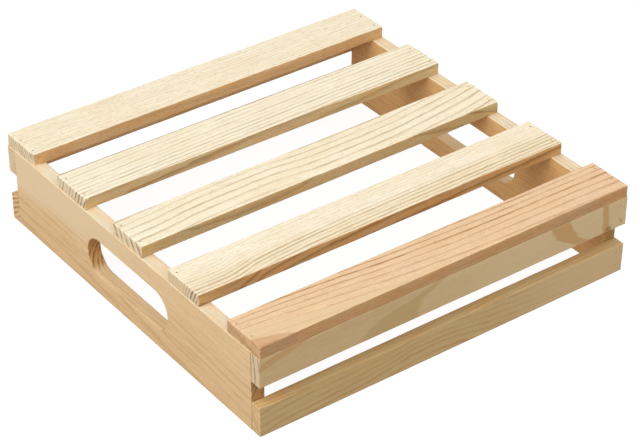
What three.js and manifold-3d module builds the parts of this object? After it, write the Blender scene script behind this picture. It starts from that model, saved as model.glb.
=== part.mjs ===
// A low slatted pallet of thin softwood boards, standing with its slatted deck up.
//
// Two end boards stand on their long edges and carry everything else. Each has a routed hand
// hole. Five deck slats lie across their top edges, flush with the outside, with wide gaps
// between them. Two side slats, one above the other, close the front, and two the back; they
// cover the end boards' edges and are open between. The underside is open. Every slat is fixed
// to each end board by two brads, whose heads are set just under the surface.
//
// Millimetres. +X runs along the slats from left to right, +Y from front to back, +Z up.
// The origin is on the floor under the middle of the deck.

import * as THREE from "three";
import { mergeVertices } from "three/addons/utils/BufferGeometryUtils.js";
import Module from "manifold-3d";

// ---------------------------------------------------------------- driving dimensions

const LENGTH = 400; // over the end boards and the side slats
const DEPTH = 400; // from the front face to the back face
const HEIGHT = 92; // from the floor to the deck
const SLAT_THICKNESS = 12;
const END_BOARD_THICKNESS = 13.5;
const EDGE_EASE = 0.6; // sanded bevel around the faces of a board

const DECK_SLAT_WIDTH = 46.5;
const DECK_SLAT_LENGTH = 398; // each end stops just inside the end board's face
const SIDE_SLAT_HEIGHT = { front: 29.5, back: 28 };

const HAND_HOLE_LENGTH = 128;
const HAND_HOLE_HEIGHT = 39;
const HAND_HOLE_CENTRE_Z = 39.5;

const BRAD_LENGTH = 25;
const BRAD_SHANK = 1.2; // diameter
const BRAD_HEAD = 1.8; // diameter
const BRAD_HEAD_THICKNESS = 0.8;
const BRAD_POINT = 2.5; // length of the tapered point
const BRAD_SET = 0.4; // depth of the head's top under the surface
const BRAD_CLEARANCE = 0.3; // between a brad and the wood around it
const BRAD_SIDES = 8;

const DECK_BRAD_FROM_END = 5.5; // from the end board's face to a brad
const DECK_BRAD_FROM_EDGE = 8; // from a slat's long edge to a brad
const SIDE_BRAD_FROM_END = 8; // clear of the deck brads that cross it
const SIDE_BRAD_SPREAD = 14; // between the two brads of a joint
const BRAD_IN_END_BOARD = 5; // least distance from a deck brad to the end board's end

const ARC_SEGMENTS = 8; // half the facets of one round end of a hand hole

// ---------------------------------------------------------------- sizes that follow

const DECK_UNDERSIDE = HEIGHT - SLAT_THICKNESS;
const END_BOARD_LENGTH = DEPTH - 2 * SLAT_THICKNESS; // between the front and the back slats
const DECK_SLAT_COUNT = 5;
const DECK_PITCH = (DEPTH - DECK_SLAT_WIDTH) / (DECK_SLAT_COUNT - 1);

// ---------------------------------------------------------------- the boards

// The slats were nailed by hand: shift is how far one stands towards the back from its even
// place, and lean how much further back its right end stands than its left end.
const DECK_SLATS = [
  { name: "deck_slat_front", shift: 0, lean: 0, colour: 0xe4bd93 },
  { name: "deck_slat_front_inner", shift: -0.6, lean: 0, colour: 0xf0dcba },
  { name: "deck_slat_middle", shift: -1, lean: 2.8, colour: 0xefddbb },
  { name: "deck_slat_back_inner", shift: 0.5, lean: 0, colour: 0xf3e3c5 },
  { name: "deck_slat_back", shift: 0, lean: 0, colour: 0xf4e1c0 },
];

const ENDS = [
  { name: "left", sign: -1, colour: 0xdcbf93 },
  { name: "right", sign: 1, colour: 0xd9ba8d },
];

const SIDES = [
  { name: "front", sign: -1 },
  { name: "back", sign: 1 },
];

const TIERS = [
  { name: "lower", centreZ: (height) => height / 2, colour: 0xb8945f },
  { name: "upper", centreZ: (height) => DECK_UNDERSIDE - height / 2, colour: 0xbd9b68 },
];

// ---------------------------------------------------------------- solids and cuts

const wasm = await Module();
wasm.setup();

const WELD = 1e-4; // vertices closer than this are one, mm

// A closed geometry as a solid that can be cut.
function solidFrom(geometry) {
  const bare = geometry.clone();
  bare.deleteAttribute("normal");
  bare.deleteAttribute("uv");
  const welded = mergeVertices(bare, WELD);
  return new wasm.Manifold(
    new wasm.Mesh({
      numProp: 3,
      vertProperties: welded.attributes.position.array,
      triVerts: new Uint32Array(welded.index.array),
    }),
  );
}

// A solid's surface as a flat-shaded geometry.
function geometryFrom(solid) {
  const { vertProperties, triVerts } = solid.getMesh();
  const indexed = new THREE.BufferGeometry();
  indexed.setAttribute("position", new THREE.BufferAttribute(vertProperties, 3));
  indexed.setIndex(new THREE.BufferAttribute(triVerts, 1));
  const geometry = indexed.toNonIndexed();
  geometry.computeVertexNormals();
  return geometry;
}

// Cuts a cutter's shape out of a mesh. Both are placed in the pallet, so the cutter is first
// brought into the mesh's own frame.
function cut(mesh, cutterGeometry, cutterMatrix) {
  const intoMesh = mesh.matrixWorld.clone().invert().multiply(cutterMatrix);
  const cutter = cutterGeometry.clone().applyMatrix4(intoMesh);
  mesh.geometry = geometryFrom(solidFrom(mesh.geometry).subtract(solidFrom(cutter)));
}

// ---------------------------------------------------------------- wood

function wood(colour) {
  return new THREE.MeshStandardMaterial({ color: colour, roughness: 0.75, metalness: 0 });
}

// A board with the given face outline. Its thickness runs along its own +Z from zero, and the
// arrises around both faces, and around any hole, are eased.
function boardGeometry(outline, thickness) {
  const geometry = new THREE.ExtrudeGeometry(outline, {
    depth: thickness - 2 * EDGE_EASE,
    bevelEnabled: true,
    bevelThickness: EDGE_EASE,
    bevelSize: EDGE_EASE,
    bevelOffset: -EDGE_EASE,
    bevelSegments: 1,
    curveSegments: ARC_SEGMENTS,
  });
  return geometry.translate(0, 0, EDGE_EASE);
}

// A plain board, centred on its own origin. With a lean its two ends stay square to X while
// its long edges climb by that much.
function slatOutline(length, width, lean = 0) {
  return new THREE.Shape([
    new THREE.Vector2(-length / 2, -width / 2 - lean / 2),
    new THREE.Vector2(length / 2, -width / 2 + lean / 2),
    new THREE.Vector2(length / 2, width / 2 + lean / 2),
    new THREE.Vector2(-length / 2, width / 2 - lean / 2),
  ]);
}

// The end board's face: X along the board, Y up from the floor, with the hand hole.
function endBoardOutline() {
  const outline = new THREE.Shape([
    new THREE.Vector2(-END_BOARD_LENGTH / 2, 0),
    new THREE.Vector2(END_BOARD_LENGTH / 2, 0),
    new THREE.Vector2(END_BOARD_LENGTH / 2, DECK_UNDERSIDE),
    new THREE.Vector2(-END_BOARD_LENGTH / 2, DECK_UNDERSIDE),
  ]);
  const radius = HAND_HOLE_HEIGHT / 2;
  const arcCentre = HAND_HOLE_LENGTH / 2 - radius;
  const hole = new THREE.Path();
  hole.absarc(arcCentre, HAND_HOLE_CENTRE_Z, radius, -Math.PI / 2, Math.PI / 2);
  hole.absarc(-arcCentre, HAND_HOLE_CENTRE_Z, radius, Math.PI / 2, 1.5 * Math.PI);
  outline.holes.push(hole);
  return outline;
}

function addBoard(name, outline, thickness, colour) {
  const board = new THREE.Mesh(boardGeometry(outline, thickness), wood(colour));
  board.name = name;
  pallet.add(board);
  return board;
}

// ---------------------------------------------------------------- brads

// A brad as a turned profile along its own Y: its point down, the top of its head at zero.
// grow makes it fatter on every side, and rise makes the head taller.
function bradGeometry(grow = 0, rise = 0) {
  const shank = BRAD_SHANK / 2 + grow;
  const head = BRAD_HEAD / 2 + grow;
  const underHead = -BRAD_HEAD_THICKNESS - grow;
  const profile = [
    new THREE.Vector2(0, -BRAD_LENGTH - grow),
    new THREE.Vector2(shank, -BRAD_LENGTH + BRAD_POINT),
    new THREE.Vector2(shank, underHead),
    new THREE.Vector2(head, underHead),
    new THREE.Vector2(head, rise),
    new THREE.Vector2(0, rise),
  ];
  return new THREE.LatheGeometry(profile, BRAD_SIDES);
}

const BRAD = bradGeometry();
const BRAD_HOLE = bradGeometry(BRAD_CLEARANCE, BRAD_SET + 1);

const bradSteel = () =>
  new THREE.MeshStandardMaterial({ color: 0xb9ad98, roughness: 0.45, metalness: 0.9 });

// Drives a brad into the boards that it joins. surface is the point where it goes in, and
// outwards the unit vector that its head faces.
function driveBrad(name, surface, outwards, boards) {
  const brad = new THREE.Mesh(BRAD, bradSteel());
  brad.name = name;
  brad.quaternion.setFromUnitVectors(new THREE.Vector3(0, 1, 0), outwards);
  brad.position.copy(surface).addScaledVector(outwards, -BRAD_SET);
  pallet.add(brad);
  brad.updateMatrixWorld();
  for (const board of boards) {
    cut(board, BRAD_HOLE, brad.matrixWorld);
  }
}

// ---------------------------------------------------------------- assembly

const pallet = new THREE.Group();

const endBoards = ENDS.map((end) => {
  const name = `end_board_${end.name}`;
  const board = addBoard(name, endBoardOutline(), END_BOARD_THICKNESS, end.colour);
  // The outline's X lies along the pallet's Y, its Y along Z, and its thickness along X.
  board.rotation.set(Math.PI / 2, Math.PI / 2, 0);
  board.position.x = end.sign < 0 ? -LENGTH / 2 : LENGTH / 2 - END_BOARD_THICKNESS;
  board.updateMatrixWorld();
  return board;
});

DECK_SLATS.forEach((slat, index) => {
  const outline = slatOutline(DECK_SLAT_LENGTH, DECK_SLAT_WIDTH, slat.lean);
  const board = addBoard(slat.name, outline, SLAT_THICKNESS, slat.colour);
  const centreY = -DEPTH / 2 + DECK_SLAT_WIDTH / 2 + index * DECK_PITCH + slat.shift;
  board.position.set(0, centreY, DECK_UNDERSIDE);
  board.updateMatrixWorld();

  const up = new THREE.Vector3(0, 0, 1);
  const lastY = END_BOARD_LENGTH / 2 - BRAD_IN_END_BOARD;
  ENDS.forEach((end, e) => {
    const x = end.sign * (LENGTH / 2 - DECK_BRAD_FROM_END);
    const slatY = centreY + slat.lean * (x / DECK_SLAT_LENGTH);
    for (const side of SIDES) {
      const fromCentre = side.sign * (DECK_SLAT_WIDTH / 2 - DECK_BRAD_FROM_EDGE);
      const y = THREE.MathUtils.clamp(slatY + fromCentre, -lastY, lastY);
      const name = `brad_${slat.name}_${end.name}_${side.name}`;
      driveBrad(name, new THREE.Vector3(x, y, HEIGHT), up, [board, endBoards[e]]);
    }
  });
});

for (const side of SIDES) {
  const outwards = new THREE.Vector3(0, side.sign, 0);
  const height = SIDE_SLAT_HEIGHT[side.name];
  for (const tier of TIERS) {
    const name = `side_slat_${side.name}_${tier.name}`;
    const centreZ = tier.centreZ(height);
    const board = addBoard(name, slatOutline(LENGTH, height), SLAT_THICKNESS, tier.colour);
    // The outline's Y stands up along Z, and the thickness runs along -Y.
    board.rotation.x = Math.PI / 2;
    board.position.set(0, side.sign < 0 ? -DEPTH / 2 + SLAT_THICKNESS : DEPTH / 2, centreZ);
    board.updateMatrixWorld();

    ENDS.forEach((end, e) => {
      const x = end.sign * (LENGTH / 2 - SIDE_BRAD_FROM_END);
      for (const place of [
        { name: "low", rise: -SIDE_BRAD_SPREAD / 2 },
        { name: "high", rise: SIDE_BRAD_SPREAD / 2 },
      ]) {
        const surface = new THREE.Vector3(x, (side.sign * DEPTH) / 2, centreZ + place.rise);
        const bradName = `brad_${name}_${end.name}_${place.name}`;
        driveBrad(bradName, surface, outwards, [board, endBoards[e]]);
      }
    });
  }
}

export default pallet;
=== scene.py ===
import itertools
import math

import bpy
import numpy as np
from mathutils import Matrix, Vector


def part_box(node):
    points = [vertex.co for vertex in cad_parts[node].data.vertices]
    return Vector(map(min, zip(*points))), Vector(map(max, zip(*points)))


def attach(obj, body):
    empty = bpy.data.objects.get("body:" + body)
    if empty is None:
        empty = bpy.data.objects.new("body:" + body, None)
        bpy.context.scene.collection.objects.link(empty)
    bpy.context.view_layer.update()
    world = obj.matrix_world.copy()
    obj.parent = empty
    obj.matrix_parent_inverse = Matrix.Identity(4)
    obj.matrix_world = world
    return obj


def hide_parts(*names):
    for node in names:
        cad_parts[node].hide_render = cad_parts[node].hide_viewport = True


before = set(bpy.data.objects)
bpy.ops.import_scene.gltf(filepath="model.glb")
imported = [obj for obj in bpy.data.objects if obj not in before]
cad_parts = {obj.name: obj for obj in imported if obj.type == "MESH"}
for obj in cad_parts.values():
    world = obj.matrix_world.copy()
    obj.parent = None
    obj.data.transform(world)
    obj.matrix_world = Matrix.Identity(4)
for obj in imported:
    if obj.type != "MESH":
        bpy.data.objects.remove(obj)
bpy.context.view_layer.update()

# A small slatted pallet of bare softwood, standing on a pale studio floor.
#
# Every board is built as its own closed mesh around its CAD node, with eased and worn edges,
# sawn ends, dents, and a shallow dimple at each brad. One procedural wood runs through each
# board as a solid block of growth rings, so the faces, the edges and the end grain agree.
# Lengths are millimetres in the tables and functions below, and metres in the scene.

MM = 0.001

# ---------------------------------------------------------------- sizes of the fine surface, mm

EASE = 0.55  # radius of an eased edge
EASE_STEPS = 3  # grid lines around it
FINE_STEP = 0.5  # grid around a brad
FINE_REACH = 3.0
NEAR_STEP = 1.0  # grid near the ends, where chips and saw marks are
NEAR_REACH = 14.0
FACE_STEP = 1.4  # grid across a board
LONG_STEP = 2.6  # grid along the middle of a board
EDGE_GAP = 0.2  # least gap between an eased edge and the grid line next to it
LEAST_STEP = 0.12  # grid lines closer than this are merged

WEAR_DEPTH = 0.4  # most that a worn edge loses
WAVE_DEPTH = 0.1  # planer's waviness of a face
SAWN_DEPTH = 0.14  # roughness of an end

DIMPLE_RADIUS = 1.45
DIMPLE_FLOOR = 1.05  # radius of a dimple's flat bottom
DIMPLE_DEPTH = 0.45

BRAD_HEAD = 0.9  # radius
BRAD_SHANK = 0.6  # radius
BRAD_LENGTH = 25.0
BRAD_SIDES = 20

# ---------------------------------------------------------------- noise and small maths


def noise(points, size, seed):
    """Smooth noise from -1 to 1 at the points, with features about size across."""
    scaled = points / np.asarray(size, float) + seed * 17.31
    cell = np.floor(scaled).astype(np.int64)
    part = scaled - cell
    part = part * part * (3 - 2 * part)
    total = np.zeros(len(points))
    for corner in itertools.product((0, 1), repeat=3):
        at = cell + corner
        mixed = (at[:, 0] * 73856093) ^ (at[:, 1] * 19349663) ^ (at[:, 2] * 83492791)
        mixed = ((mixed ^ (mixed >> 13)) * 1274126177) & 0xFFFFFFFF
        mixed = (mixed ^ (mixed >> 16)) & 0xFFFF
        weight = np.prod(np.where(corner, part, 1 - part), axis=1)
        total += weight * (mixed / 32767.5 - 1)
    return total


def smoothstep(low, high, value):
    t = np.clip((value - low) / (high - low), 0, 1)
    return t * t * (3 - 2 * t)


# ---------------------------------------------------------------- board meshes
# A board's own frame has X along the grain, Y across its width and Z through its thickness,
# with the origin at its middle.


def eased_lines(half):
    """Offsets from an end that step around its eased edge."""
    return [half - EASE * k / EASE_STEPS for k in range(EASE_STEPS + 1)]


def stations(half, step, near_step=None, fine_at=()):
    """Grid lines from -half to half: dense around the eased edges and the brads."""
    inner = half - EASE
    lines = list(np.linspace(-inner, inner, max(2, round(2 * inner / step)) + 1))
    if near_step:
        middle = half - NEAR_REACH
        lines = [x for x in lines if abs(x) < middle]
        count = round((NEAR_REACH - EASE) / near_step)
        near = np.linspace(middle, inner, count + 1)
        lines += list(near) + list(-near)
    for centre in fine_at:
        lines = [x for x in lines if abs(x - centre) > FINE_REACH]
        count = round(2 * FINE_REACH / FINE_STEP)
        lines += list(np.linspace(centre - FINE_REACH, centre + FINE_REACH, count + 1))
    lines = [x for x in lines if abs(x) <= inner - EDGE_GAP]
    edge = eased_lines(half)
    lines += edge + [-x for x in edge]
    ordered = sorted(lines)
    kept = [ordered[0]]
    for x in ordered[1:]:
        if x - kept[-1] > LEAST_STEP:
            kept.append(x)
    kept[-1] = half
    return np.array(kept)


def lattice_shell(xs, ys, zs):
    """Points and quads of a closed box surface with the given grid lines."""
    shape = (len(xs), len(ys), len(zs))
    outside = np.zeros(shape, bool)
    outside[[0, -1], :, :] = True
    outside[:, [0, -1], :] = True
    outside[:, :, [0, -1]] = True
    index = np.full(shape, -1)
    index[outside] = np.arange(outside.sum())
    grid = np.stack(np.meshgrid(xs, ys, zs, indexing="ij"), axis=-1)
    quads = []
    for axis in range(3):
        for side in (0, -1):
            sheet = index.take(side, axis=axis)
            corners = [sheet[:-1, :-1], sheet[1:, :-1], sheet[1:, 1:], sheet[:-1, 1:]]
            if (side == 0) != (axis == 1):
                corners.reverse()
            quads.append(np.stack([c.ravel() for c in corners], axis=1))
    return grid[outside], np.concatenate(quads)


def plain_board(half, brads):
    """A solid board: a box whose edges are rounded to EASE."""
    along = sorted({round(b[0], 2) for b in brads})
    across = sorted({round(b[1], 2) for b in brads})
    xs = stations(half[0], LONG_STEP, NEAR_STEP, along)
    ys = stations(half[1], FACE_STEP, fine_at=across)
    zs = stations(half[2], FACE_STEP)
    points, quads = lattice_shell(xs, ys, zs)
    core = np.clip(points, -(half - EASE), half - EASE)
    away = points - core
    length = np.linalg.norm(away, axis=1, keepdims=True)
    return core + EASE * away / np.maximum(length, 1e-9), quads


HOLE_SAMPLES = {"long": 120, "short": 30, "corner": 4}
HOLE_RINGS = 40  # grid lines from the hand hole's rim to the board's edge
CORNER_TURN = 0.002  # radians of the rim that each sample of an outer corner is joined to


def holed_board(half, hole):
    """A board with a round-ended hand hole: one section swept around the hole, as a torus.

    hole is (half of its straight part, its radius, its centre's height in the board's frame).
    """
    flat, radius, rise = hole
    outer_base, outer_way, inner_base, inner_way = [], [], [], []

    def add(base, way, rim_base, angle):
        """One station: where the outline is, and the hole's rim in the given direction."""
        rim = np.array([math.cos(angle), math.sin(angle)])
        outer_base.append(base)
        outer_way.append(way)
        inner_base.append(rim_base)
        inner_way.append(rim)

    corner_x, corner_y = half[0] - EASE, half[1] - EASE
    arc = radius * math.pi / 4
    for side in (1, -1):
        # The long edge, from the +X corner of this side to its -X corner.
        for k in range(HOLE_SAMPLES["long"]):
            t = k / HOLE_SAMPLES["long"]
            reach = t * (2 * arc + 2 * flat)
            if reach < arc:
                angle, rim_x = math.pi / 4 + reach / radius, flat
            elif reach < arc + 2 * flat:
                angle, rim_x = math.pi / 2, flat - (reach - arc)
            else:
                angle, rim_x = math.pi / 2 + (reach - arc - 2 * flat) / radius, -flat
            rim_base = (side * rim_x, rise)
            turn = 0 if side > 0 else math.pi
            base = (side * corner_x * (1 - 2 * t), side * corner_y)
            add(base, (0, side), rim_base, angle + turn)
        # The corner and the short edge that follow it.
        rim_base = (-side * flat, rise)
        start = 3 * math.pi / 4 + (0 if side > 0 else math.pi)
        for k in range(HOLE_SAMPLES["corner"]):
            bend = math.pi / 2 * (1 + k / HOLE_SAMPLES["corner"])
            way = (side * math.cos(bend), side * math.sin(bend))
            add((-side * corner_x, side * corner_y), way, rim_base, start + CORNER_TURN * k)
        start += CORNER_TURN * HOLE_SAMPLES["corner"]
        span = math.pi / 2 - 2 * CORNER_TURN * HOLE_SAMPLES["corner"]
        for k in range(HOLE_SAMPLES["short"]):
            t = k / HOLE_SAMPLES["short"]
            base = (-side * corner_x, side * corner_y * (1 - 2 * t))
            add(base, (-side, 0), rim_base, start + span * t)
        start += span
        for k in range(HOLE_SAMPLES["corner"]):
            bend = math.pi / 2 * (2 + k / HOLE_SAMPLES["corner"])
            way = (side * math.cos(bend), side * math.sin(bend))
            add((-side * corner_x, -side * corner_y), way, rim_base, start + CORNER_TURN * k)

    outer_base, outer_way = np.array(outer_base, float), np.array(outer_way, float)
    inner_base, inner_way = np.array(inner_base, float), np.array(inner_way, float)
    rim_face = inner_base + inner_way * (radius + EASE)

    rings = []

    def face(z, shares):
        for share in shares:
            plan = rim_face * (1 - share) + outer_base * share
            rings.append(np.column_stack([plan, np.full(len(plan), z)]))

    def wall(base, way, reach, sign, downwards):
        """The eased edges and the flat of a wall. reach is where it stands along way."""
        turns = [k / EASE_STEPS * math.pi / 2 for k in range(1, EASE_STEPS + 1)]
        middle = np.linspace(half[2] - EASE, EASE - half[2], 9)[1:-1]
        stops = [(1 - math.sin(a), half[2] - EASE + EASE * math.cos(a)) for a in turns]
        stops += [(0, z) for z in middle]
        stops += [(inset, -z) for inset, z in reversed(stops[:EASE_STEPS])]
        if not downwards:
            stops = [(inset, -z) for inset, z in stops]
        for inset, z in stops:
            plan = base + way * (reach + sign * inset * EASE)
            rings.append(np.column_stack([plan, np.full(len(plan), z)]))

    spread = np.linspace(0, 1, HOLE_RINGS)
    shares = 0.5 - 0.5 * np.cos(np.pi * spread) * (0.35 + 0.65 * np.abs(np.cos(np.pi * spread)))
    face(half[2], shares)
    wall(outer_base, outer_way, EASE, -1, downwards=True)
    face(-half[2], shares[::-1])
    wall(inner_base, inner_way, radius, 1, downwards=False)

    count, around = len(rings), len(outer_base)
    index = np.arange(count * around).reshape(count, around)
    onwards = np.roll(index, -1, axis=0)
    quads = np.stack(
        [
            index.ravel(),
            onwards.ravel(),
            np.roll(onwards, -1, axis=1).ravel(),
            np.roll(index, -1, axis=1).ravel(),
        ],
        axis=1,
    )
    return np.concatenate(rings), quads


def edge_distance(points, half, hole):
    """How far each surface point is from the nearest edge between two faces."""
    gaps = [half[axis] - np.abs(points[:, axis]) for axis in range(3)]
    if hole:
        flat, radius, rise = hole
        along = np.maximum(np.abs(points[:, 0]) - flat, 0)
        gaps.append(np.hypot(along, points[:, 1] - rise) - radius)
    return np.sort(np.abs(np.array(gaps)), axis=0)[1]


def weather(points, normals, half, hole, spec, brads):
    """Moves a board's surface inwards where it is worn, sawn, dented or dimpled."""
    seed = spec["seed"]
    edge = edge_distance(points, half, hole)
    rubbed = np.clip(noise(points, (26, 9, 9), seed) * 0.7 + 0.3, 0, 1) ** 2
    rubbed += 0.4 * np.clip(noise(points, (5, 3, 3), seed + 1), 0, 1)
    inwards = WEAR_DEPTH * np.minimum(rubbed, 1) * np.exp(-edge / 0.7)
    inwards += WAVE_DEPTH * (0.5 + 0.5 * noise(points, (70, 18, 18), seed + 2))
    end = smoothstep(0.38, 0.75, np.abs(normals[:, 0]))
    fuzz = 0.5 + 0.5 * noise(points, (2, 1.3, 1.3), seed + 3)
    inwards += SAWN_DEPTH * end * fuzz
    moved = points - normals * inwards[:, None]
    for place, size, depth in spec.get("chips", ()):
        centre = np.array(place) * half
        gap = np.linalg.norm((points - centre) / np.asarray(size, float), axis=1)
        ragged = gap + 0.25 * noise(points, 2.2, seed + 5)
        bite = depth * (1 - smoothstep(0.35, 1, ragged))
        towards = -np.sign(centre) * (np.abs(np.array(place)) > 0.97)
        towards = towards / max(np.linalg.norm(towards), 1e-9)
        moved += towards * bite[:, None]
    dent = np.zeros(len(points))
    for x, y, side in brads:
        gap = np.hypot(points[:, 0] - x, points[:, 1] - y)
        facing = normals[:, 2] * side > 0.8
        sunk = facing * (1 - smoothstep(DIMPLE_FLOOR, DIMPLE_RADIUS, gap))
        moved[:, 2] -= side * DIMPLE_DEPTH * sunk
        # A dimple's darkening: crushed fibres, and painted shade in its hollow.
        dent = np.maximum(dent, facing * (1 - smoothstep(0.9, 1.7, gap)))
    return moved, edge, end, dent


def board_object(name, spec, hole=None):
    """The finished mesh of one board, in place, with what its material reads."""
    low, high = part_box(name)
    centre = (low + high) / 2
    axes = Matrix([spec["along"], spec["across"], spec["through"]])  # rows: board axes
    size = axes @ (high - low)
    half = np.array([abs(v) for v in size]) / 2 / MM
    lean = spec.get("lean", 0)
    half[1] -= lean / 2
    to_board = np.array(axes)

    brads = []
    for brad in own_brads(name):
        b_low, b_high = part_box(brad)
        middle = to_board @ np.array((b_low + b_high) / 2 - centre) / MM
        outwards = to_board @ np.array(brad_outwards(brad))
        across = middle[1] - lean * middle[0] / (2 * half[0])
        brads.append((middle[0], across, np.sign(outwards[2])))

    points, quads = holed_board(half, hole) if hole else plain_board(half, brads)
    mesh = bpy.data.meshes.new(name)
    mesh.from_pydata(points.tolist(), [], quads.tolist())
    normals = np.array([v.normal for v in mesh.vertices])
    moved, edge, end, dent = weather(points, normals, half, hole, spec, brads)
    rim = smoothstep(0.55, 0.9, np.hypot(normals[:, 0], normals[:, 1]))

    leaning = moved.copy()
    leaning[:, 1] += lean * moved[:, 0] / (2 * half[0])
    world = leaning @ to_board * MM + np.array(centre)
    mesh.vertices.foreach_set("co", world.ravel())
    grain = mesh.attributes.new("grain", "FLOAT_VECTOR", "POINT")
    grain.data.foreach_set("vector", moved.ravel())
    # mask: how much a point is on a long narrow side, on a sawn end, and on a worn edge
    mask = mesh.attributes.new("mask", "FLOAT_VECTOR", "POINT")
    wear = np.exp(-edge / 1.3)
    mask.data.foreach_set("vector", np.column_stack([rim, end, wear]).ravel())
    dimple = mesh.attributes.new("dimple", "FLOAT", "POINT")
    dimple.data.foreach_set("value", dent)
    mesh.shade_smooth()
    mesh.update()

    board = bpy.data.objects.new(name + "_board", mesh)
    bpy.context.scene.collection.objects.link(board)
    mesh.materials.append(wood_material(name, spec))
    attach(board, "root")
    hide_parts(name)
    return board


# ---------------------------------------------------------------- brads

BRAD_PLACES = ("front", "back", "low", "high")


def own_brads(board):
    """The CAD nodes of the brads whose heads are in this board."""
    names = [f"brad_{board}_{end}_{place}" for end in ("left", "right") for place in BRAD_PLACES]
    return [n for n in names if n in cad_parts]


def brad_outwards(brad):
    """The direction that a brad's head faces."""
    if "deck_slat" in brad:
        return (0, 0, 1)
    return (0, -1, 0) if "side_slat_front" in brad else (0, 1, 0)


def brad_mesh():
    """A brad turned around Z: its head's top at zero, its point down."""
    length, sides = BRAD_LENGTH, BRAD_SIDES
    # (radius, height): a low dome and its rim, the neck, the shank, and the point.
    profile = [(0.4, -0.02), (0.66, -0.05), (0.82, -0.12), (BRAD_HEAD, -0.24), (BRAD_HEAD, -0.6)]
    profile += [(0.8, -0.78), (BRAD_SHANK, -0.9)]
    profile += [(BRAD_SHANK, -z) for z in np.linspace(1.4, length - 2.5, 7)]
    profile += [(0.36, -length + 1.2), (0.13, -length + 0.3)]
    points, quads, tips = [(0, 0, 0)], [], []
    for radius, z in profile:
        for k in range(sides):
            angle = 2 * math.pi * k / sides
            points.append((radius * math.cos(angle), radius * math.sin(angle), z))
    points.append((0, 0, -length))
    last = len(points) - 1
    for k in range(sides):
        onwards = (k + 1) % sides
        tips.append((0, 1 + k, 1 + onwards))
        for ring in range(len(profile) - 1):
            a, b = 1 + ring * sides + k, 1 + ring * sides + onwards
            quads.append((a, a + sides, b + sides, b))
        bottom = 1 + (len(profile) - 1) * sides
        tips.append((bottom + k, last, bottom + onwards))
    mesh = bpy.data.meshes.new("brad")
    mesh.from_pydata((np.array(points) * MM).tolist(), [], quads + tips)
    mesh.shade_smooth()
    mesh.update()
    mesh.materials.append(steel_material())
    return mesh


def add_brads():
    mesh = brad_mesh()
    for name in sorted(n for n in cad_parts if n.startswith("brad_")):
        low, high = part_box(name)
        outwards = Vector(brad_outwards(name))
        middle = (low + high) / 2
        reach = abs(outwards.dot(high - low)) / 2
        brad = bpy.data.objects.new(name + "_steel", mesh)
        bpy.context.scene.collection.objects.link(brad)
        brad.matrix_world = Matrix.Translation(middle + outwards * reach) @ (
            outwards.to_track_quat("Z", "Y").to_matrix().to_4x4()
        )
        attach(brad, "root")
        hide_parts(name)


# ---------------------------------------------------------------- shader shorthand


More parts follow.
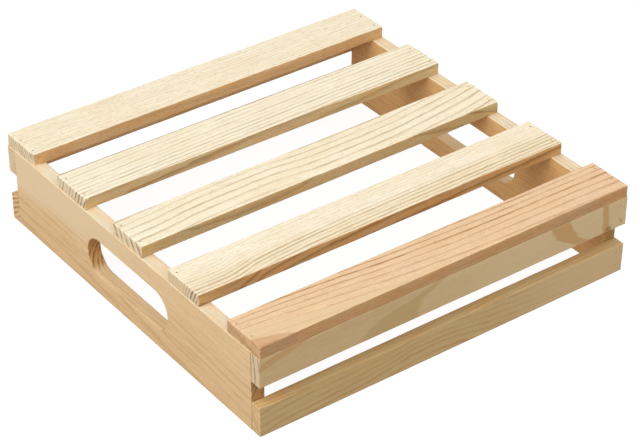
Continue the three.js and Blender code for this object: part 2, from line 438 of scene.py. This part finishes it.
class Net:
    """A material's node tree, with short calls for the nodes that the recipes use."""

    def __init__(self, name):
        self.material = bpy.data.materials.new(name)
        self.material.use_nodes = True
        self.tree = self.material.node_tree
        self.shader = self.tree.nodes["Principled BSDF"]

    def put(self, socket, value):
        if isinstance(value, bpy.types.NodeSocket):
            self.tree.links.new(value, socket)
        elif value is not None:
            socket.default_value = value

    def math(self, operation, a, b=None, c=None, clamp=False):
        node = self.tree.nodes.new("ShaderNodeMath")
        node.operation = operation
        node.use_clamp = clamp
        for socket, value in zip(node.inputs, (a, b, c)):
            self.put(socket, value)
        return node.outputs[0]

    def vector(self, operation, a, b):
        node = self.tree.nodes.new("ShaderNodeVectorMath")
        node.operation = operation
        self.put(node.inputs[0], a)
        self.put(node.inputs[1], b)
        return node.outputs[0]

    def split(self, vector):
        node = self.tree.nodes.new("ShaderNodeSeparateXYZ")
        self.put(node.inputs[0], vector)
        return node.outputs

    def join(self, x, y, z):
        node = self.tree.nodes.new("ShaderNodeCombineXYZ")
        for socket, value in zip(node.inputs, (x, y, z)):
            self.put(socket, value)
        return node.outputs[0]

    def attribute(self, name, output="Vector"):
        node = self.tree.nodes.new("ShaderNodeAttribute")
        node.attribute_name = name
        return node.outputs[output]

    def noise(self, vector, size, seed=0.0, detail=2.0, roughness=0.5):
        """Noise from 0 to 1. size is how wide its features are, mm, along each axis."""
        scaled = self.vector("DIVIDE", vector, tuple(float(s) for s in size))
        moved = self.vector("ADD", scaled, (seed * 3.7, seed * 1.9, seed * 2.3))
        node = self.tree.nodes.new("ShaderNodeTexNoise")
        node.inputs["Scale"].default_value = 1.0
        node.inputs["Detail"].default_value = detail
        node.inputs["Roughness"].default_value = roughness
        self.put(node.inputs["Vector"], moved)
        return node.outputs["Fac"]

    def span(self, value, low, high, to_low=0.0, to_high=1.0, smooth=True):
        """value from low..high carried to to_low..to_high, and held beyond."""
        node = self.tree.nodes.new("ShaderNodeMapRange")
        node.interpolation_type = "SMOOTHSTEP" if smooth else "LINEAR"
        for name, v in (
            ("Value", value),
            ("From Min", low),
            ("From Max", high),
            ("To Min", to_low),
            ("To Max", to_high),
        ):
            self.put(node.inputs[name], v)
        return node.outputs[0]

    def curve(self, value, low, high, points):
        """A smooth curve through (input, output) points, as inputs go from low to high."""
        outs = [y for _, y in points]
        bottom, top = min(outs), max(outs) + 1e-6
        node = self.tree.nodes.new("ShaderNodeFloatCurve")
        curve = node.mapping.curves[0]
        places = [((x - low) / (high - low), (y - bottom) / (top - bottom)) for x, y in points]
        while len(curve.points) < len(places):
            curve.points.new(0.5, 0.5)
        for point, place in zip(curve.points, places):
            point.location = place
        node.mapping.update()
        self.put(node.inputs["Value"], self.span(value, low, high, smooth=False))
        return self.span(node.outputs[0], 0.0, 1.0, bottom, top, smooth=False)

    def mix(self, share, a, b, blend="MIX"):
        node = self.tree.nodes.new("ShaderNodeMix")
        node.data_type = "RGBA"
        node.blend_type = blend
        node.clamp_factor = True
        self.put(node.inputs["Factor"], share)
        for socket, value in ((node.inputs[6], a), (node.inputs[7], b)):
            self.put(socket, value if isinstance(value, bpy.types.NodeSocket) else (*value, 1.0))
        return node.outputs[2]

    def bump(self, height, distance, strength=1.0):
        node = self.tree.nodes.new("ShaderNodeBump")
        node.inputs["Strength"].default_value = strength
        node.inputs["Distance"].default_value = distance * MM
        self.put(node.inputs["Height"], height)
        self.put(self.shader.inputs["Normal"], node.outputs[0])


# ---------------------------------------------------------------- wood

TABLE_ALONG = 200.0  # how far from a board's middle the tables along it reach, mm
TABLE_ACROSS = 40.0  # and the tables across it
HOLE_WALL_FADE = (24.0, 32.0)  # across: where the painted light and shade tint of the hand hole's wall ends
BORED_END_FADE = (90.0, 150.0)  # along: where the hole's own ends give way to the board's ends
BORED_END_LIGHT_GAIN = 1.42  # how much paler the hole's ends are painted than the board's, as painted light
INNER_SHADE_FADE = (4.8, 5.6)  # through: where the tint of painted shade on the inner or under face comes in
FOOT_SHADE_REACH = 1.6  # height of the strip of painted shade at a board's foot


def wood_material(name, spec):
    """Bare softwood. Growth rings stand around a pith that the spec places, so a ring is a line on
    the faces and an arc on the ends; fibres, flecks, wear and handling lie over them, and painted
    light and shade on the sides, the inner faces, the foot and the hand hole's ends."""
    net = Net("wood_" + name)
    seed = float(spec["seed"])
    grain = net.attribute("grain")
    x, y, z = net.split(grain)
    rim, end, wear = net.split(net.attribute("mask"))
    dimple = net.attribute("dimple", "Fac")
    side = net.math("MULTIPLY", rim, net.math("SUBTRACT", 1.0, end))

    late, late_across, own = growth_rings(net, spec, grain, x, y, z, seed)
    strength = net.math("MULTIPLY_ADD", own, 0.8, 0.5)
    if "contrast" in spec:
        contrast = net.curve(y, -TABLE_ACROSS, TABLE_ACROSS, spec["contrast"])
        strength = net.math("MULTIPLY", strength, contrast)
    patchy = net.noise(grain, (30, 6, 6), seed + 3, detail=3.0)
    fade = net.span(patchy, 0.3, 0.7, spec.get("patchy", 0.5), 1.3)
    strength = net.math("MULTIPLY", strength, fade)
    line = net.math("MULTIPLY", late, strength, clamp=True)

    # Fibres, and short dark flecks among them.
    coarse = net.noise(grain, (34, 1.5, 1.5), seed + 4, detail=2.0)
    fine = net.noise(grain, (9, 0.6, 0.6), seed + 5, detail=3.0, roughness=0.65)
    fleck = net.span(net.noise(grain, (4, 1.1, 1.1), seed + 6, detail=1.0), 0.58, 0.7)
    blotch = net.noise(grain, (60, 22, 22), seed + 7, detail=2.0)

    pale, dark = spec["pale"], spec["dark"]
    warm = tuple(a * b for a, b in zip(pale, (0.98, 0.95, 0.9)))
    colour = net.mix(net.span(blotch, 0.3, 0.7), pale, warm)
    if "shade" in spec:
        shade = net.curve(y, -TABLE_ACROSS, TABLE_ACROSS, spec["shade"])
        colour = net.mix(shade, colour, spec["shade_tone"])
    colour = net.mix(net.math("MULTIPLY", line, spec["depth"]), colour, dark)
    colour = net.mix(net.span(coarse, 0.25, 0.75, 0.0, spec.get("fibre", 0.2)), colour, dark)
    colour = net.mix(net.span(fine, 0.3, 0.7, 0.0, 0.2), colour, dark)
    colour = net.mix(net.math("MULTIPLY", fleck, spec.get("flecks", 0.3)), colour, dark)
    if "streaks" in spec:
        share, tone = spec["streaks"]
        streak = net.noise(grain, (75, 5, 5), seed + 13, detail=2.0)
        lower = net.curve(y, -TABLE_ACROSS, TABLE_ACROSS, spec["streak_places"])
        streak = net.math("MULTIPLY", net.span(streak, 0.5, 0.66, 0.0, share), lower)
        colour = net.mix(streak, colour, tone)
    for band in spec.get("bands", ()):
        colour = add_band(net, colour, x, y, grain, seed, side, **band)
    for knot in spec.get("knots", ()):
        colour = add_knot(net, colour, x, y, *knot)

    # The narrow sides of a board take a tint of painted light and shade, in patches: darker on the
    # deck slats' sides, paler on the end boards' top edges. The inner or under face takes painted
    # shade.
    redder = tuple(a * b for a, b in zip(spec["side_light_tint"], (1.04, 0.94, 0.84)))
    patch = net.span(net.noise(grain, (38, 9, 9), seed + 12, detail=1.0), 0.4, 0.6)
    tint = net.mix(patch, spec["side_light_tint"], redder)
    # Painted light and shade: a hand hole's wall takes a tint of its own.
    if "bore_light_tint" in spec:
        beyond = net.span(net.math("ABSOLUTE", y), *HOLE_WALL_FADE)
        tint = net.mix(beyond, spec["bore_light_tint"], tint)
    colour = net.mix(side, colour, net.mix(1.0, colour, tint, "MULTIPLY"))
    # Painted shade: the inner or under face is tinted darker and warmer.
    hidden = net.span(net.math("MULTIPLY", z, spec["hidden"]), *INNER_SHADE_FADE)
    hidden = net.math("MULTIPLY", hidden, net.math("SUBTRACT", 1.0, rim))
    colour = net.mix(hidden, colour, net.mix(1.0, colour, spec["hidden_tint"], "MULTIPLY"))
    # Rings stand out most on the ends, where they are cut across.
    deep = tuple(c * 0.46 for c in dark)
    crossed = tuple(min(p * t, 1) for p, t in zip(pale, spec["end_tint"]))
    # Painted light: the hand hole's ends are paler than the board's own ends.
    if "bore_light_tint" in spec:
        bored_lit = tuple(min(c * BORED_END_LIGHT_GAIN, 1) for c in crossed)
        beyond = net.span(net.math("ABSOLUTE", x), *BORED_END_FADE)
        crossed = net.mix(beyond, bored_lit, crossed)
    sawn = net.mix(net.span(fine, 0.3, 0.7, 0.0, 0.35), crossed, dark)
    bold = net.math("MULTIPLY", late_across, net.span(strength, 0.2, 1.1, 0.15, 1.0))
    sawn = net.mix(net.math("MULTIPLY", bold, spec.get("end_depth", 0.85)), sawn, deep)
    colour = net.mix(end, colour, sawn)
    # Painted shade: a thin strip at the board's foot, where it meets the floor, is darker.
    if "soiled" in spec:
        foot = net.span(y, -spec["soiled"], FOOT_SHADE_REACH - spec["soiled"], 0.55, 0.0)
        colour = net.mix(foot, colour, tuple(c * 0.5 for c in dark))

    # A rubbed edge is a little polished and pale; a dimple is darker, for its crushed fibres and as
    # painted shade in its hollow.
    rub = net.math("MULTIPLY", wear, net.span(net.noise(grain, (11, 4, 4), seed + 8), 0.4, 0.7))
    colour = net.mix(net.math("MULTIPLY", rub, 0.3), colour, tuple(min(c * 1.06, 1) for c in pale))
    colour = net.mix(net.math("MULTIPLY", dimple, 0.2), colour, dark)
    net.put(net.shader.inputs["Base Color"], colour)

    rough = net.span(fine, 0.3, 0.7, 0.62, 0.76)
    rough = net.math("MULTIPLY_ADD", line, -0.08, rough)
    rough = net.math("MULTIPLY_ADD", end, 0.14, rough, clamp=True)
    net.put(net.shader.inputs["Roughness"], rough)
    net.shader.inputs["Specular IOR Level"].default_value = 0.3

    # Latewood stands a little proud; fibres and the saw's marks are cut in.
    saw_x = net.noise(grain, (0.9, 30, 4), seed + 9, detail=1.0)
    saw_y = net.noise(grain, (4, 0.9, 30), seed + 10, detail=1.0)
    height = net.math("MULTIPLY", line, 0.35)
    height = net.math("MULTIPLY_ADD", coarse, 0.5, height)
    height = net.math("MULTIPLY_ADD", fine, 0.7, height)
    height = net.math("MULTIPLY_ADD", fleck, -0.5, height)
    height = net.math("ADD", height, net.math("MULTIPLY", net.math("MULTIPLY", saw_x, side), 1.2))
    height = net.math("ADD", height, net.math("MULTIPLY", net.math("MULTIPLY", saw_y, end), 1.6))
    net.bump(height, 0.16, 0.6)
    return net.material


def growth_rings(net, spec, grain, x, y, z, seed):
    """How much latewood shows at each point along and across the grain, and a number from
    0 to 1 that belongs to the point's ring."""
    tilt = math.radians(spec["tilt"])
    far = spec["pith"]
    from_y = net.math("ADD", y, far * math.cos(tilt))
    from_z = net.math("ADD", z, far * math.sin(tilt))
    square = net.math("ADD", net.math("POWER", from_y, 2.0), net.math("POWER", from_z, 2.0))
    ring = net.math("SUBTRACT", net.math("SQRT", square), far)
    ring = net.math("SUBTRACT", ring, net.curve(x, -TABLE_ALONG, TABLE_ALONG, spec["wander"]))
    slow = net.noise(grain, (120, 26, 26), seed, detail=1.0)
    quick = net.noise(grain, (30, 7, 7), seed + 1, detail=1.0)
    ring = net.math("MULTIPLY_ADD", net.math("SUBTRACT", slow, 0.5), spec["waves"], ring)
    ring = net.math("MULTIPLY_ADD", net.math("SUBTRACT", quick, 0.5), 0.22 * spec["waves"], ring)
    ragged = net.noise(grain, (14, 3, 3), seed + 14, detail=2.0)
    ragged = net.math("SUBTRACT", ragged, 0.5)
    ring = net.math("MULTIPLY_ADD", ragged, spec.get("ragged", 1.4), ring)

    # Rings grow wider and narrower over the years.
    years = net.math("ADD", net.math("DIVIDE", ring, spec["spacing"]), spec.get("phase", 0.0))
    uneven = net.noise(net.join(ring, 0.0, 0.0), (spec["spacing"] * 3.1, 1, 1), seed + 2, 1.0)
    years = net.math("MULTIPLY_ADD", net.math("SUBTRACT", uneven, 0.5), 1.2, years)
    part = net.math("FRACT", years)
    own = net.tree.nodes.new("ShaderNodeTexWhiteNoise")
    own.noise_dimensions = "1D"
    net.put(own.inputs["W"], net.math("ADD", net.math("FLOOR", years), seed * 13.0))

    # Latewood darkens slowly and stops short. Where it is cut across, it looks broader.
    stop = net.span(part, 0.92, 1.0, 1.0, 0.0)
    rise = net.math("POWER", net.span(part, spec.get("late", 0.42), 0.88, smooth=False), 1.7)
    start = spec.get("end_late", 0.4)
    broad = net.span(part, start, min(start + 0.4, 0.92))
    return net.math("MULTIPLY", rise, stop), net.math("MULTIPLY", broad, stop), own.outputs[0]


def add_band(net, colour, x, y, grain, seed, side, centre, half, share, tone, edge=0.35):
    """A band of another tone across a board. centre is where it lies along the board, and half
    is its half width, each at places across the board. share is how much of tone it takes, and
    edge is how soft its sides are, as a part of its half width."""
    ragged = net.math("SUBTRACT", net.noise(grain, (26, 6, 6), seed + 11), 0.5)
    sway = min(9.0, 0.8 * max(width for _, width in half))
    place = net.curve(y, -TABLE_ACROSS, TABLE_ACROSS, centre)
    middle = net.math("MULTIPLY_ADD", ragged, sway, place)
    gap = net.math("ABSOLUTE", net.math("SUBTRACT", x, middle))
    inside = net.math("DIVIDE", gap, net.curve(y, -TABLE_ACROSS, TABLE_ACROSS, half))
    share = net.math("MULTIPLY", net.math("MULTIPLY_ADD", side, -0.6, 1.0), share)
    inside = net.span(inside, 1.0 - edge, 1.0 + edge, 1.0, 0.0)
    return net.mix(net.math("MULTIPLY", inside, share), colour, tone)


def add_knot(net, colour, x, y, at_x, at_y, radius, tone):
    """A small tight knot: dark rings around a centre."""
    dx = net.math("MULTIPLY", net.math("SUBTRACT", x, at_x), 0.75)
    dy = net.math("SUBTRACT", y, at_y)
    gap = net.math("SQRT", net.math("ADD", net.math("POWER", dx, 2.0), net.math("POWER", dy, 2.0)))
    rings = net.math("SINE", net.math("MULTIPLY", gap, 6.0))
    core = net.span(gap, 0.3 * radius, radius, 0.9, 0.0)
    share = net.math("MULTIPLY", core, net.span(rings, -1.0, 1.0, 0.7, 1.0))
    return net.mix(share, colour, tone)


def steel_material():
    """Dull bright steel with faint spots of tarnish."""
    net = Net("brad_steel")
    place = net.tree.nodes.new("ShaderNodeTexCoord").outputs["Object"]
    small = net.vector("SCALE", place, None)
    small.node.inputs["Scale"].default_value = 1000.0
    spots = net.noise(small, (0.8, 0.8, 0.8), 3.0, detail=3.0)
    colour = net.mix(net.span(spots, 0.45, 0.65), (0.5, 0.43, 0.33), (0.34, 0.27, 0.19))
    net.put(net.shader.inputs["Base Color"], colour)
    net.shader.inputs["Metallic"].default_value = 0.6
    net.put(net.shader.inputs["Roughness"], net.span(spots, 0.3, 0.7, 0.35, 0.6))
    net.bump(spots, 0.04, 0.5)
    return net.material


# ---------------------------------------------------------------- the boards
# Places and lengths are in the board's own frame, mm from its middle.
# along, across, through: the board's X, Y and Z in the scene. lean: how far the board is askew.
# pith and tilt: how far off the pith is, and its direction, degrees from the board's -Y.
# spacing and phase: a ring's mean width, and how many rings the pattern is moved.
# wander: how far the rings drift at places along the board. waves and ragged: slow and quick sway.
# late and end_late: where in a ring the latewood starts to show, along and across the grain.
# pale, dark, depth and end_depth: early wood, late wood, and how much late wood darkens.
# patchy: how strong a ring is where it fades. fibre and flecks: how strong those are.
# contrast, shade and streak_places: strength of rings, shade and streaks across the board.
# shade_tone: the tone that shade brings in. streaks: how much of which tone the streaks take.
# side_light_tint and bore_light_tint: the tints of painted light and shade that the sides and a
# hole's wall multiply the colour by.
# end_tint: what the ends multiply pale by.
# hidden: which face, inner or under, takes painted shade, 1 for +Z and -1 for -Z, with hidden_tint
# for its colour.
# soiled: how far below the middle the board's foot is, where a thin strip of painted shade lies.
# seed: which noise the board gets.
# chips: (place in half sizes, reach, depth). knots: (x, y, radius, tone). bands: see add_band.

STRAW = (0.47, 0.35, 0.18)
NO_TINT = (1.0, 1.0, 1.0)

LYING = dict(
    along=(1, 0, 0), across=(0, 1, 0), through=(0, 0, 1), slot="deck_wood",
    dark=STRAW, hidden=-1, hidden_tint=(0.96, 0.86, 0.74),
)
ENDWAYS = dict(
    along=(0, 1, 0), across=(0, 0, 1), through=(1, 0, 0), slot="end_board_wood",
    side_light_tint=(1.06, 1.23, 1.51), bore_light_tint=(1.0, 1.04, 1.13), end_tint=(0.58, 0.43, 0.25),
    dark=(0.46, 0.29, 0.13), hidden_tint=(0.96, 0.82, 0.58), soiled=40,
)
UPRIGHT = dict(
    along=(1, 0, 0), across=(0, 0, 1), through=(0, -1, 0), slot="side_slat_wood",
    side_light_tint=NO_TINT, dark=(0.42, 0.26, 0.11), hidden_tint=(0.98, 0.88, 0.7),
)
BROWN_FIGURE = (0.515, 0.316, 0.13)

BOARDS = {
    "deck_slat_back": dict(
        LYING, seed=11, tilt=-14, pith=60, spacing=4.0, waves=3.0,
        wander=[(-200, 0), (0, 2), (200, 5)], end_tint=(0.88, 0.8, 0.72),
        pale=(0.93, 0.845, 0.67), depth=0.3, fibre=0.22, flecks=0.36,
        side_light_tint=(0.81, 0.62, 0.405),
        chips=[((-1, -1, -0.9), (9, 8, 16), 2.0), ((1, -1, 1), (4, 3, 2), 0.7)],
    ),
    "deck_slat_back_inner": dict(
        LYING, seed=23, tilt=17, pith=150, spacing=4.7, waves=1.2,
        wander=[(-200, 0), (0, 5), (200, 9)],
        side_light_tint=(0.80, 0.68, 0.475), end_tint=(0.85, 0.77, 0.67),
        contrast=[(-40, 1.1), (0, 1.0), (14, 0.8), (40, 0.7)], end_depth=1.0,
        pale=(0.94, 0.875, 0.71), depth=0.75,
        chips=[((-1, -1, 1), (6, 5, 3), 1.1), ((1, 1, 1), (3, 3, 2), 0.6)],
    ),
    "deck_slat_middle": dict(
        LYING, seed=35, lean=2.8, tilt=-28.8, pith=120, spacing=8.1, waves=1.2,
        late=0.6, phase=0.8,
        wander=[(-200, 0), (-167, 1.2), (-131, 4.4), (-89, 5.6), (-61, 5.6), (-33, 4.4),
                (-6, 1.5), (36, 0.7), (78, 1.2), (119, 4.4), (161, 9.0), (200, 15.6)],
        side_light_tint=(0.705, 0.60, 0.405), end_tint=(0.88, 0.80, 0.71),
        pale=(0.925, 0.845, 0.665), depth=0.95, end_depth=1.0,
        chips=[((1, -1, 1), (5, 4, 3), 0.9)],
    ),
    "deck_slat_front_inner": dict(
        LYING, seed=47, tilt=19, pith=90, spacing=3.7, waves=1.6, late=0.35,
        wander=[(-200, 0), (-188, -0.8), (-170, -1.2), (-150, 1.0), (-130, 5), (-100, 7.5),
                (-60, 9.5), (0, 11), (200, 13.5)],
        contrast=[(-40, 1.4), (-8, 1.4), (-3, 0.7), (3, 0.3), (40, 0.25)],
        shade=[(-40, 0.4), (-16, 0.35), (-4, 0.15), (4, 0.0), (40, 0.0)],
        shade_tone=(0.84, 0.66, 0.42),
        side_light_tint=(0.755, 0.545, 0.315), end_tint=(0.79, 0.69, 0.56),
        pale=(0.935, 0.855, 0.69), depth=0.9, end_depth=1.0,
        chips=[((-1, 1, 1), (4, 4, 2), 0.6)],
    ),
    "deck_slat_front": dict(
        LYING, slot="front_deck_wood", seed=59, tilt=-76, pith=300, spacing=2.0, waves=0.7,
        late=0.6, ragged=0.45,
        wander=[(-200, 0), (-100, -2.6), (-30, -4.6), (50, -5.6), (200, -6.4)],
        pale=(0.815, 0.6, 0.39), dark=(0.42, 0.21, 0.085), depth=1.0,
        side_light_tint=(0.715, 0.65, 0.52), end_tint=(0.84, 0.76, 0.63), hidden_tint=NO_TINT,
        end_depth=1.0,
        chips=[((-1, -1, 1), (4, 3, 2), 0.5)],
        bands=[
            dict(centre=[(-40, 0), (-23, -75), (-16, -126), (-10, -164), (0, -207), (40, -400)],
                 half=[(-40, 100), (-23, 75), (-16, 48), (-10, 36), (0, 22), (40, 5)],
                 share=0.85, tone=(0.70, 0.505, 0.305), edge=0.12),
            dict(centre=[(-40, -160), (-23, -182), (-9.7, -217), (0, -250), (40, -350)],
                 half=[(-40, 19), (40, 19)], share=0.55, tone=(0.46, 0.23, 0.1), edge=0.15),
        ],
    ),
    "end_board_left": dict(
        ENDWAYS, seed=61, tilt=-58, pith=120, spacing=4.0, waves=2.0, late=0.55, hidden=1,
        wander=[(-200, -6.0), (-60, -2.6), (60, 2.8), (200, 5.6)], patchy=0.1,
        contrast=[(-40, 1.5), (-4, 1.3), (8, 0.9), (20, 0.5), (40, 0.3)],
        shade=[(-40, 0.75), (-26, 0.6), (-6, 0.3), (12, 0.05), (40, 0.0)],
        shade_tone=(0.69, 0.465, 0.24),
        streaks=(0.5, (0.56, 0.35, 0.16)),
        streak_places=[(-40, 1.0), (-4, 0.8), (10, 0.35), (40, 0.2)],
        pale=(0.78, 0.58, 0.345), depth=0.5,
        bands=[dict(centre=[(-40, 480), (-4, 320), (14, 190), (40, 150)],
                    half=[(-40, 60), (-4, 90), (14, 130), (40, 150)],
                    share=0.8, tone=(0.74, 0.59, 0.385), edge=0.8)],
    ),
    "end_board_right": dict(
        ENDWAYS, seed=73, tilt=54, pith=90, spacing=3.0, waves=4.0, late=0.3, hidden=-1,
        wander=[(-200, 0.4), (0, -0.8), (200, 1.0)],
        side_light_tint=(1.05, 1.29, 1.68), pale=(0.79, 0.575, 0.34), depth=0.42, patchy=0.2,
    ),
    "side_slat_front_upper": dict(
        UPRIGHT, seed=83, tilt=84, pith=90, spacing=7.0, waves=4.0, late=0.5, hidden=-1,
        wander=[(-200, 0), (-60, 1.5), (80, -0.6), (200, 1.2)], end_tint=(1.1, 1.12, 1.3),
        end_late=0.7,
        pale=(0.63, 0.497, 0.287), depth=0.16, flecks=0.15,
        bands=[
            dict(centre=[(-40, 150), (40, 150)], half=[(-40, 150), (40, 150)],
                 share=0.5, tone=(0.67, 0.565, 0.35), edge=0.6),
            dict(centre=[(-40, -366), (3.5, -205), (13, -168), (40, -60)],
                 half=[(-40, 14), (40, 14)], share=0.8, tone=BROWN_FIGURE, edge=0.2),
            dict(centre=[(-40, -70), (-15, -66), (-7, -63), (0, -57), (7, -34), (12, -19), (40, 30)],
                 half=[(-40, 32), (-15, 30), (-7, 28), (0, 22), (7, 11), (12, 7), (40, 6)],
                 share=0.8, tone=(0.484, 0.346, 0.158), edge=0.15),
            dict(centre=[(-40, 175), (-15, 149), (-7, 138), (0, 129), (12, 123), (40, 120)],
                 half=[(-40, 4), (-15, 6), (-7, 8), (0, 10), (12, 11), (40, 11)],
                 share=0.9, tone=BROWN_FIGURE, edge=0.2),
            dict(centre=[(-40, 178), (40, 172)], half=[(-40, 4), (40, 3.2)],
                 share=0.85, tone=BROWN_FIGURE, edge=0.3),
        ],
        knots=[(179, -12, 4.0, (0.25, 0.14, 0.06)), (194, -9, 1.6, (0.3, 0.2, 0.08))],
    ),
    "side_slat_front_lower": dict(
        UPRIGHT, seed=97, tilt=58, pith=90, spacing=3.1, waves=2.0, late=0.4, hidden=-1,
        wander=[(-200, -2.5), (-150, 0.3), (-100, 1.2), (-60, 3.0), (-23, 4.8), (0, 4.2),
                (30, 2.0), (60, 0.3), (105, -1.2), (200, -2.2)],
        pale=(0.58, 0.44, 0.218), depth=1.0, side_light_tint=(1.07, 1.1, 1.15),
        end_tint=(1.37, 1.27, 1.37), end_depth=0.8,
        bands=[dict(centre=[(-40, 190), (40, 190)], half=[(-40, 100), (40, 100)],
                    share=0.9, tone=(0.60, 0.45, 0.26), edge=0.8)],
        soiled=14.75,
    ),
    "side_slat_back_upper": dict(
        UPRIGHT, seed=103, tilt=8, pith=60, spacing=4.2, waves=3.0, late=0.35, hidden=1,
        wander=[(-200, 0), (0, 1.4), (200, -0.6)], end_tint=(1.0, 1.0, 1.1), end_depth=0.4,
        pale=(0.79, 0.62, 0.38), depth=0.4, hidden_tint=NO_TINT,
    ),
    "side_slat_back_lower": dict(
        UPRIGHT, seed=113, tilt=-34, pith=70, spacing=4.4, waves=2.0, late=0.35, hidden=1,
        wander=[(-200, 1.2), (-40, -0.8), (200, 0.9)], end_tint=(1.08, 0.98, 0.96),
        pale=(0.70, 0.52, 0.30), depth=0.45, dark=(0.42, 0.22, 0.1), soiled=14,
    ),
}

# Half of the hand hole's straight part, its radius, and its centre above the board's middle.
HAND_HOLE = (44.5, 19.5, -0.5)

for board_name, board_spec in BOARDS.items():
    board_hole = HAND_HOLE if board_name.startswith("end_board") else None
    board_object(board_name, board_spec, board_hole)
add_brads()

# ---------------------------------------------------------------- floor, light and camera


def add_floor():
    """A pale floor, bright enough of itself to leave only a trace of shadow."""
    mesh = bpy.data.meshes.new("floor")
    reach = 12.0
    corners = [(-reach, -reach), (reach, -reach), (reach, reach), (-reach, reach)]
    mesh.from_pydata([(x, y, 0.0) for x, y in corners], [], [(0, 1, 2, 3)])
    floor = bpy.data.objects.new("floor", mesh)
    bpy.context.scene.collection.objects.link(floor)
    floor.visible_diffuse = False
    net = Net("floor_white")
    net.shader.inputs["Base Color"].default_value = (0.14, 0.14, 0.14, 1)
    net.shader.inputs["Roughness"].default_value = 1.0
    net.shader.inputs["Specular IOR Level"].default_value = 0.0
    net.shader.inputs["Emission Color"].default_value = (1, 1, 1, 1)
    net.shader.inputs["Emission Strength"].default_value = 0.92
    mesh.materials.append(net.material)


def add_softbox(name, direction, distance, size, watts, colour=(1, 1, 1)):
    """A square soft light that looks at the pallet from the given direction."""
    light = bpy.data.lights.new(name, "AREA")
    light.shape = "SQUARE"
    light.size = size
    light.energy = watts
    light.color = colour
    box = bpy.data.objects.new(name, light)
    away = Vector(direction).normalized()
    box.location = away * distance
    box.rotation_euler = away.to_track_quat("Z", "Y").to_euler()
    bpy.context.scene.collection.objects.link(box)


def add_sky(above, below):
    """Even light all round, in one colour above the horizon and another below it."""
    world = bpy.data.worlds.new("studio")
    world.use_nodes = True
    tree = world.node_tree
    split = tree.nodes.new("ShaderNodeSeparateXYZ")
    tree.links.new(tree.nodes.new("ShaderNodeTexCoord").outputs["Generated"], split.inputs[0])
    rise = tree.nodes.new("ShaderNodeMapRange")
    rise.inputs["From Min"].default_value = -0.2
    rise.inputs["From Max"].default_value = 0.2
    tree.links.new(split.outputs[2], rise.inputs["Value"])
    blend = tree.nodes.new("ShaderNodeMix")
    blend.data_type = "RGBA"
    blend.inputs[6].default_value = (*below, 1)
    blend.inputs[7].default_value = (*above, 1)
    tree.links.new(rise.outputs[0], blend.inputs["Factor"])
    tree.links.new(blend.outputs[2], tree.nodes["Background"].inputs["Color"])
    bpy.context.scene.world = world


def add_camera():
    """The camera stands front left, looking down."""
    azimuth, elevation, roll = (math.radians(a) for a in (-36.535, 34.292, 0.1))
    distance, aim_right, aim_up = 2.089, 0.00695, 0.01839
    back = Vector(
        (
            math.sin(azimuth) * math.cos(elevation),
            -math.cos(azimuth) * math.cos(elevation),
            math.sin(elevation),
        )
    )
    right = Vector((math.cos(azimuth), math.sin(azimuth), 0))
    up = back.cross(right)
    tipped_right = right * math.cos(roll) + up * math.sin(roll)
    tipped_up = up * math.cos(roll) - right * math.sin(roll)
    aim = tipped_right * aim_right + tipped_up * aim_up
    data = bpy.data.cameras.new("camera")
    data.sensor_width = 36.0
    data.lens = 127.58
    camera = bpy.data.objects.new("camera", data)
    turn = Matrix((tipped_right, tipped_up, back)).transposed().to_4x4()
    camera.matrix_world = Matrix.Translation(aim + back * distance) @ turn
    bpy.context.scene.collection.objects.link(camera)
    bpy.context.scene.camera = camera


add_floor()
add_softbox("key", (-0.675, -0.073, 0.733), 7.0, 7.0, 425)
add_softbox("front_fill", (0.1, -0.75, 0.65), 3.0, 2.0, 18, colour=(1.0, 0.88, 0.72))
add_sky(above=(0.58, 0.58, 0.58), below=(0.42, 0.31, 0.2))
bpy.context.scene.view_settings.view_transform = "Standard"
add_camera()
